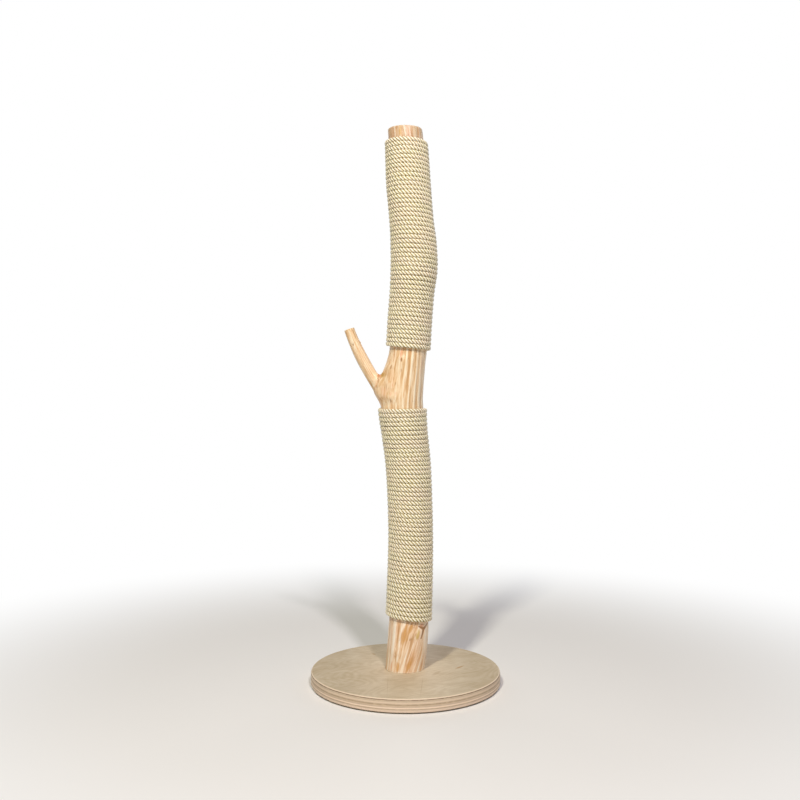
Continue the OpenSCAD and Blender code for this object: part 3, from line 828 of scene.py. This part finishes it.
class Tree:
    """Nodes of a material or world. Colours are given on the display's scale from 0 to 255."""

    def __init__(self, name, kind="materials"):
        self.owner = getattr(bpy.data, kind).new(name)
        self.owner.use_nodes = True
        self.nodes = self.owner.node_tree.nodes
        self.links = self.owner.node_tree.links
        self.nodes.clear()

    def add(self, kind, inputs=None, **settings):
        node = self.nodes.new("ShaderNode" + kind)
        for key, value in settings.items():
            setattr(node, key, value)
        for key, value in (inputs or {}).items():
            if isinstance(value, bpy.types.NodeSocket):
                self.links.new(value, node.inputs[key])
            else:
                node.inputs[key].default_value = value
        return node

    def attribute(self, name, output="Fac"):
        return self.add("Attribute", attribute_name=name).outputs[output]

    def place(self):
        return self.add("TexCoord").outputs["Object"]

    def scaled(self, vector, cell, offset=(0, 0, 0), turn=(0, 0, 0)):
        """Vector counted in cells of these sizes in millimetres."""
        scale = [1 / (c * MM) for c in cell]
        return self.add("Mapping", {
            "Vector": vector, "Scale": scale, "Location": offset, "Rotation": turn,
        }).outputs[0]

    def noise(self, vector, cell, detail=2.0, rough=0.5, distort=0.0, offset=(0, 0, 0)):
        """Noise with cells of these sizes in millimetres."""
        return self.add("TexNoise", {
            "Vector": self.scaled(vector, cell, offset), "Scale": 1.0, "Detail": detail,
            "Roughness": rough, "Distortion": distort,
        }).outputs["Fac"]

    def math(self, operation, a, b=0.0, c=0.0):
        return self.add("Math", {0: a, 1: b, 2: c}, operation=operation).outputs[0]

    def times(self, a, b, plus=0.0):
        """Product of two values, with a third added to it."""
        return self.math("MULTIPLY_ADD", a, b, plus)

    def part(self, vector, direction):
        return self.add("SeparateXYZ", {0: vector}).outputs[direction]

    def seen(self):
        """1 for rays from the camera, from a glossy surface or through glass, otherwise 0."""
        path = self.add("LightPath").outputs
        seen = self.math("MAXIMUM", path["Is Camera Ray"], path["Is Glossy Ray"])
        return self.math("MAXIMUM", seen, path["Is Transmission Ray"])

    def ramp(self, value, low, high):
        """Rises smoothly from 0 at low to 1 at high."""
        inputs = {"Value": value, "From Min": low, "From Max": high}
        return self.add("MapRange", inputs, interpolation_type="SMOOTHSTEP").outputs[0]

    def colours(self, value, *stops):
        """Colour ramp through stops, each a place and its colour."""
        node = self.add("ValToRGB", {"Fac": value})
        points = node.color_ramp.elements
        while len(points) < len(stops):
            points.new(0.5)
        for point, (at, *colour) in zip(points, stops):
            point.position, point.color = at, srgb(*colour)
        return node.outputs["Color"]

    def mix(self, share, a, b, blend="MIX"):
        a, b = (srgb(*value) if isinstance(value, tuple) else value for value in (a, b))
        mixed = {MIX_SHARE: share, MIX_A: a, MIX_B: b}
        return self.add("Mix", mixed, data_type="RGBA", blend_type=blend).outputs[MIX_OUT]

    def run_in(self, at, x, y, wide, high, turn):
        """Run from a point of the base, counted in half widths and half heights of an oval."""
        turned_in = self.add("Mapping", {
            "Vector": at, "Location": (x * MM, y * MM, 0), "Rotation": (0, 0, math.radians(turn)),
            "Scale": (wide * MM, high * MM, 1),
        }, vector_type="TEXTURE").outputs[0]
        return self.add("VectorMath", {0: turned_in}, operation="LENGTH").outputs["Value"]

    def bump(self, height, distance, strength=1.0):
        inputs = {"Height": height, "Distance": distance * MM, "Strength": strength}
        return self.add("Bump", inputs).outputs[0]

    def surface(self, **inputs):
        """Ends the tree in a Principled shader; names have underscores for spaces."""
        shader = self.add("BsdfPrincipled", {k.replace("_", " "): v for k, v in inputs.items()})
        self.add("OutputMaterial", {"Surface": shader.outputs[0]})
        return self.owner


# Tones of the wood from valley to crest, in the fork and in the foot
FORK_TONES = [
    (0.1, 196, 152, 102), (0.3, 217, 179, 132), (0.48, 230, 199, 157), (0.64, 238, 214, 178),
    (0.85, 244, 228, 198),
]
FOOT_TONES = [
    (0.1, 200, 156, 110), (0.3, 224, 184, 142), (0.48, 240, 210, 176), (0.64, 250, 231, 204),
    (0.85, 255, 244, 226),
]


def bare_wood(t, grain, height, streak, fine):
    """Colour of the bare wood: the tones of fork and foot, and pinker patches."""
    tone = t.math("ADD", t.times(streak, 1.5, t.times(fine, 0.5, -1.0)), t.attribute("tone"))
    colour = t.mix(t.ramp(height, LOWER_WIND_TOP * MM, LOWER_WIND_Z * MM),
                   t.colours(tone, *FORK_TONES), t.colours(tone, *FOOT_TONES))
    broad = t.noise(grain, (16, 16, 120), 2.0)
    return t.mix(t.times(t.ramp(broad, 0.45, 0.7), 0.35), colour, (250, 218, 196), "MULTIPLY")


def marked_wood(t, colour, streak, fine):
    """Colour with the bark, reddish and olive marks."""
    marks = t.attribute("marks", "Vector")
    bark = t.times(t.part(marks, "X"), t.times(t.ramp(streak, 0.3, 0.65), -0.25, 1.0))
    colour = t.mix(bark, colour, t.colours(fine, (0.35, 200, 144, 78), (0.7, 226, 174, 106)))
    colour = t.mix(t.times(t.part(marks, "Y"), 0.8), colour, (220, 148, 100))
    return t.mix(t.times(t.part(marks, "Z"), 0.85), colour, (214, 178, 88))


def sawn_wood(t, colour, grain, height, fine):
    """Colour with the growth rings of the sawn ends, and painted shade that darkens the top band."""
    rings = t.add("TexWave", {
        "Vector": grain, "Scale": 62.0, "Distortion": 2.2, "Detail": 2.0, "Detail Scale": 0.6,
    }, wave_type="RINGS", rings_direction="Z", wave_profile="SIN").outputs["Fac"]
    end = t.colours(t.times(fine, 0.3, t.times(rings, 0.7)),
                    (0.15, 206, 164, 112), (0.6, 236, 204, 158), (0.9, 245, 220, 180))
    colour = t.mix(t.attribute("sawn"), colour, end)
    # Painted shade: the band above the upper winding and the top face are darkened.
    top_band_painted_shade = t.ramp(height, (UPPER_WIND_TOP - 8) * MM, (UPPER_WIND_TOP - 4) * MM)
    return t.mix(top_band_painted_shade, colour, (226, 222, 224), "MULTIPLY")


def trunk_material():
    """Debarked, sanded wood under satin varnish, with streaks, bark marks, knots and sawn ends."""
    t = Tree("debarked_wood")
    grain = t.attribute("grain", "Vector")
    height = t.part(t.place(), "Z")
    streak = t.noise(grain, (2.4, 2.4, 80), 3.0, 0.6, 0.3)
    fine = t.noise(grain, (0.9, 0.9, 34), 3.0, 0.6)
    pores = t.noise(grain, (0.35, 0.35, 5), 2.0)
    colour = marked_wood(t, bare_wood(t, grain, height, streak, fine), streak, fine)
    colour = sawn_wood(t, colour, grain, height, fine)
    colour = t.mix(t.times(t.attribute("dark"), 0.92), colour,
                   t.colours(fine, (0.35, 128, 82, 26), (0.7, 176, 118, 50)))
    colour = t.mix(t.times(t.ramp(pores, 0.6, 0.75), 0.22), colour, (188, 142, 98))
    relief = t.bump(t.times(fine, 0.6, t.times(pores, 0.4)), 0.22, 0.8)
    return t.surface(Base_Color=colour, Roughness=t.times(streak, 0.16, 0.38), Normal=relief,
                     Coat_Weight=0.12, Coat_Roughness=0.28)


def rope_material():
    """Twisted sisal: pale straw fibres, and painted olive shade in the grooves."""
    t = Tree("sisal")
    fibre = t.attribute("fibre", "Vector")
    hairs = t.noise(fibre, (14, 0.5, 0.5), 3.0, 0.65, 0.3)
    yarns = t.noise(fibre, (30, 1.6, 1.6), 2.0)
    lengths = t.noise(t.place(), (55, 55, 16), 3.0, 0.6)
    tone = t.times(hairs, 0.55, t.times(yarns, 0.45))
    tone = t.times(t.attribute("tint"), 0.035, tone)
    crest = t.colours(
        tone, (0.3, 232, 221, 186), (0.42, 249, 243, 222),
        (0.55, 253, 250, 236), (0.7, 254, 252, 243))
    light = t.ramp(hairs, 0.35, 0.65)
    flank = t.mix(light, (208, 192, 136), (234, 221, 174))
    flank = t.mix(t.ramp(lengths, 0.35, 0.7), flank, (226, 203, 166))
    deep = t.mix(light, (94, 79, 20), (142, 122, 50))
    # Painted shade: the colour runs from pale crests over the flanks to dark olive deep in the grooves
    # between strands; the near-white crest colours are partly a painted highlight.
    depth = t.times(hairs, 0.4, t.math("ADD", t.attribute("groove"), -0.2))
    colour = t.mix(t.ramp(depth, 0.05, 0.45), crest, flank)
    colour = t.mix(t.times(t.ramp(depth, 0.48, 0.86), 0.95), colour, deep)
    rough = t.times(hairs, 0.15, 0.5)
    return t.surface(Base_Color=colour, Roughness=rough, Normal=t.bump(hairs, 0.35, 0.9))


# Turn of the face veneer's grain
GRAIN_TURN = math.radians(-24)
# Marks on the base's face: middle, half width, half height, turn in degrees and strength; knots
# likewise; and the oval of growth lines on its left
FACE_MARKS = [
    (64.5, -36.5, 6, 20, -30, 0.4), (93.5, 51, 1.6, 22, 60, 0.35), (143, -20, 1.2, 22, 50, 0.3),
    (171, 6, 1.2, 18, 35, 0.25), (161, 42, 1.4, 20, 70, 0.3), (31.5, -123.5, 0.9, 62, -4, 0.35),
    (-36.5, -115.5, 0.9, 68, 0, 0.3), (124, -140, 1.3, 1.3, 0, 0.8), (-96, 118, 1.5, 26, 62, 0.3),
    (20, 150, 5, 22, 80, 0.3),
]
FACE_KNOTS = [(116, 6, 4, 20, -38, 0.8), (-70, 104, 3.5, 8, 30, 0.5)]
FACE_OVAL = (-130, -60, 35, 50, 0)
# Tones of the rim: depth below the face in millimetres, and colour
# The first two stops, paler than the face, are a painted highlight along the rounded top edge.
PLY_TONES = [
    (0, 240, 222, 196), (1.8, 224, 205, 180), (2.5, 116, 93, 70), (3.3, 124, 101, 77),
    (4, 206, 185, 160), (5.4, 196, 175, 149), (6.6, 208, 187, 162), (7.6, 224, 203, 178),
    (9.2, 222, 200, 175), (10.2, 206, 184, 158), (11, 192, 170, 143), (11.8, 172, 150, 123),
    (12.6, 170, 147, 120), (13.2, 198, 176, 149), (14.8, 204, 182, 156), (16.2, 196, 174, 149),
    (17, 216, 194, 170), (17.8, 240, 218, 195), (18.8, 238, 216, 193), (19.6, 216, 194, 169),
    (20.3, 180, 157, 131), (21, 182, 159, 133), (21.8, 206, 184, 160), (23.4, 224, 202, 181),
    (27, 216, 194, 172),
]


def base_material():
    """Clear-coated multiplex: a birch face veneer, and plies that show at the rim."""
    t = Tree("birch_multiplex")
    at = t.place()
    board = t.scaled(at, (1 / MM, 1 / MM, 1 / MM), turn=(0, 0, GRAIN_TURN))
    fine = t.noise(board, (14, 0.9, 5), 4.0, 0.65)
    normal = t.add("NewGeometry").outputs["Normal"]
    upright = t.math("ABSOLUTE", t.part(normal, "Z"))
    colour = t.mix(t.ramp(upright, 0.8, 0.96), rim_colour(t, at), face_colour(t, at, board, fine))
    cloud = t.noise(board, (60, 40, 60), 2.0)
    rough = t.times(cloud, 0.15, 0.5)
    return t.surface(Base_Color=colour, Roughness=rough, Normal=t.bump(fine, 0.05, 0.3),
                     Specular_IOR_Level=0.3)


def face_colour(t, at, board, fine):
    """Face veneer: swirls of growth lines, fibres, the marks that stand out, and painted shade towards its
    left and right ends.
    """
    swirl = t.noise(board, (170, 95, 400), 1.0, 0.4, offset=(0.3, 0.9, 0))
    lines = t.math("SINE", t.times(swirl, 130.0, t.times(fine, 1.4)))
    oval = t.times(t.noise(at, (60, 60, 60), 2.0), 0.25, t.run_in(at, *FACE_OVAL))
    arcs = t.times(t.math("SINE", t.times(oval, 15.0)), t.ramp(oval, 1.5, 1.1))
    lines = t.math("ADD", lines, arcs)
    cloud = t.noise(board, (80, 45, 80), 3.0, 0.6)
    flakes = t.noise(board, (6, 0.7, 5), 2.0)
    tone = t.times(lines, 0.05, t.times(cloud, 0.7))
    tone = t.times(fine, 0.6, tone)
    colour = t.colours(
        tone, (0.45, 186, 167, 136), (0.64, 202, 185, 158), (0.85, 216, 202, 179))
    # Painted shade: the face darkens towards its left and right ends, where less light falls on it.
    off_middle = t.math("ABSOLUTE", t.part(at, "X"))
    colour = t.mix(t.ramp(off_middle, 50 * MM, 150 * MM), colour, (232, 230, 224), "MULTIPLY")
    colour = t.mix(t.times(t.ramp(flakes, 0.6, 0.75), 0.45), colour, (180, 156, 120))
    rough_edge = t.times(cloud, 0.8, t.times(flakes, 0.5, -0.65))
    for marks, shade in ((FACE_MARKS, (168, 142, 106)), (FACE_KNOTS, (172, 134, 88))):
        for *oval, share in marks:
            run = t.math("ADD", t.run_in(at, *oval), rough_edge)
            colour = t.mix(t.times(t.ramp(run, 1.2, 0.5), share), colour, shade)
    return colour


def rim_colour(t, at):
    """Plies and glue lines that show at the rim, by their depth below the face."""
    wobble = t.noise(at, (45, 45, 30), 2.0)
    grain = t.noise(at, (8, 8, 0.5), 3.0, 0.7)
    uneven = t.times(wobble, 0.9, t.times(grain, 0.4, -0.65))
    depth = t.math("ADD", t.times(t.part(at, "Z"), -1 / MM, BASE_TOP), uneven)
    thick = BASE_TOP - BASE_FOOT
    stops = [(down / thick, *tone) for down, *tone in PLY_TONES]
    colour = t.colours(t.math("DIVIDE", depth, thick), *stops)
    dashes = t.noise(at, (11, 11, 3), 2.0)
    colour = t.mix(t.times(t.ramp(dashes, 0.48, 0.62), 0.3), colour, (224, 202, 172))
    return t.mix(t.times(t.ramp(grain, 0.55, 0.75), 0.3), colour, (168, 140, 110))


def felt_material():
    t = Tree("felt")
    hairs = t.noise(t.place(), (0.8, 0.8, 0.8), 4.0, 0.7)
    patches = t.noise(t.place(), (5, 5, 5), 2.0)
    colour = t.colours(t.times(hairs, 0.7, t.times(patches, 0.3)),
                       (0.35, 58, 54, 50), (0.65, 106, 100, 94))
    return t.surface(Base_Color=colour, Roughness=0.95, Normal=t.bump(hairs, 0.6),
                     Sheen_Weight=0.2, Sheen_Roughness=0.6)


def metal_material(name, dark, light, rough):
    """Zinc plating: fine crystals and faint draw marks."""
    t = Tree(name)
    crystals = t.noise(t.place(), (1.6, 1.6, 1.6), 3.0, 0.6)
    marks = t.noise(t.place(), (0.3, 0.3, 6), 2.0)
    tone = t.times(crystals, 0.6, t.times(marks, 0.4))
    colour = t.colours(tone, (0.35, *dark), (0.65, *light))
    roughness = t.times(crystals, 0.2, rough)
    return t.surface(Base_Color=colour, Metallic=1.0, Roughness=roughness, Normal=t.bump(marks, 0.03, 0.5))


# Felt pads

PAD_R, PAD_SIDES = 15, 72
PADS, FIRST_PAD = 6, 30
# Half of a pad's outline: share of its radius and of its thickness
PAD_OUTLINE = [(0.5, 0.0), (0.93, 0.0), (0.98, 0.08), (1.0, 0.3), (1.0, 0.7), (0.98, 1.0), (0.5, 1.0)]


def make_pads():
    """Needle-felt discs with soft, slightly ragged rims, where the CAD pads are."""
    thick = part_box("felt_pads")[1][2] / MM
    points, faces = [], []
    for n, pad in enumerate(equal_parts("felt_pads", PADS, FIRST_PAD)):
        x, y, _ = (pad.min(0) + pad.max(0)) / 2
        first = len(points)
        for share, level in PAD_OUTLINE:
            spot = circle(PAD_SIDES, 1, level + n)
            ragged = 1 - (0.02 + 0.015 * noise(spot * 40, (2.2, 2.2, 1), 61)) * (share > 0.9)
            points += circle(PAD_SIDES, PAD_R * share * ragged, level * thick, x, y).tolist()
        faces += [[first + v for v in face] for face in tube_faces(len(PAD_OUTLINE), PAD_SIDES)]
    made = mesh_of("felt_pad_set", points, faces)
    finish_piece(made, "felt", felt_material(), "felt_pads")


# Surroundings

CAMERA_AT = (-11.7, -1921, 600)
# Focal length and width of the picture in pixels, and width of the sensor
FOCAL_PX, FRAME_PX, SENSOR = 903, 800, 36
LAMPS_AIM = Vector((0, 0, 0.55))
FLOOR_RINGS, FLOOR_SIDES = (400, 1500, 30000), 96


def make_camera():
    data = bpy.data.cameras.new("camera")
    data.sensor_width = SENSOR
    data.lens = SENSOR * FOCAL_PX / FRAME_PX
    camera = in_scene("camera", data)
    camera.location = [c * MM for c in CAMERA_AT]
    camera.rotation_euler = (math.pi / 2, 0, 0)
    bpy.context.scene.camera = camera


def make_lamp(name, azimuth, elevation, distance, size, power, colour):
    """Square lamp that looks at the middle of the post."""
    data = bpy.data.lights.new(name, "AREA")
    data.shape = "SQUARE"
    data.size = size
    data.energy = power
    data.color = colour
    lamp = in_scene(name, data)
    a, e = math.radians(azimuth), math.radians(elevation)
    back = Vector((math.sin(a) * math.cos(e), -math.cos(a) * math.cos(e), math.sin(e)))
    lamp.location = LAMPS_AIM + back * distance
    lamp.rotation_euler = (-back).to_track_quat("-Z", "Y").to_euler()
    return lamp


def make_lamps():
    """Two lamps in front, which throw the two shadows, and a soft one behind on each side."""
    make_lamp("key", -19.5, 45, 4, 0.28, 94, (1.0, 0.965, 0.84))
    make_lamp("fill", 13.5, 42, 4, 0.28, 74, (1.0, 0.94, 0.99))
    for side in (-1, 1):
        make_lamp("back", side * 152, 12, 3, 2, 18, (1.0, 0.98, 0.96)).visible_glossy = False


def make_world(ambient):
    """Soft light from all round, and a white background."""
    t = Tree("studio", "worlds")
    strength = t.add("MapRange", {"Value": t.seen(), "To Min": ambient, "To Max": 1.0})
    background = t.add("Background", {"Color": (1, 1, 1, 1), "Strength": strength.outputs[0]})
    t.add("OutputWorld", {"Surface": background.outputs[0]})
    bpy.context.scene.world = t.owner


def floor_material():
    """Pale and plain, and white to the camera away from the post."""
    t = Tree("pale_floor")
    far = t.add("VectorMath", {0: t.place()}, operation="LENGTH").outputs["Value"]
    plain = t.add("BsdfDiffuse", {"Color": srgb(240, 239, 237)})
    white = t.add("Emission", {"Color": (1, 1, 1, 1), "Strength": 1.0})
    mixed = t.add("MixShader", {
        0: t.times(t.ramp(far, 0.5, 1.5), t.seen()), 1: plain.outputs[0], 2: white.outputs[0],
    })
    t.add("OutputMaterial", {"Surface": mixed.outputs[0]})
    return t.owner


def make_floor():
    points = np.concatenate([[[0, 0, 0]], *(circle(FLOOR_SIDES, r, 0) for r in FLOOR_RINGS)])
    fan = [[0, 1 + j, 1 + (j + 1) % FLOOR_SIDES] for j in range(FLOOR_SIDES)]
    rings = tube_faces(len(FLOOR_RINGS), FLOOR_SIDES, capped=False)
    floor = mesh_of("floor", points, fan + [[1 + v for v in face[::-1]] for face in rings])
    cover(floor, floor_material())


def make_ropes():
    sisal = rope_material()
    for name, low, high, fall, seed, node in (
        ("lower_rope", LOWER_WIND_Z, LOWER_WIND_TOP, LOWER_FALL, 101, "lower_rope_winding"),
        ("upper_rope", UPPER_WIND_Z, UPPER_WIND_TOP, UPPER_FALL, 211, "upper_rope_winding"),
    ):
        finish_piece(make_rope(name, low, high - low, fall, seed), "sisal_rope", sisal, node)


def dress_solids():
    """Finishes of the CAD solids that show as they are."""
    zinc = metal_material("zinc", (150, 152, 156), (206, 208, 212), 0.25)
    yellow = metal_material("yellow_zinc", (170, 138, 74), (222, 190, 116), 0.28)
    finishes = {
        "base_plate": base_material(), "threaded_insert": yellow, "anti_twist_screws": yellow,
        "base_bolt": zinc, "base_washer": zinc, "lower_rope_staples": zinc, "upper_rope_staples": zinc,
    }
    for name, material in finishes.items():
        cover(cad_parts[name], material)


bpy.context.scene.view_settings.view_transform = "Standard"
make_camera()
make_world(0.08)
make_lamps()
make_floor()
make_trunk()
make_ropes()
make_pads()
dress_solids()
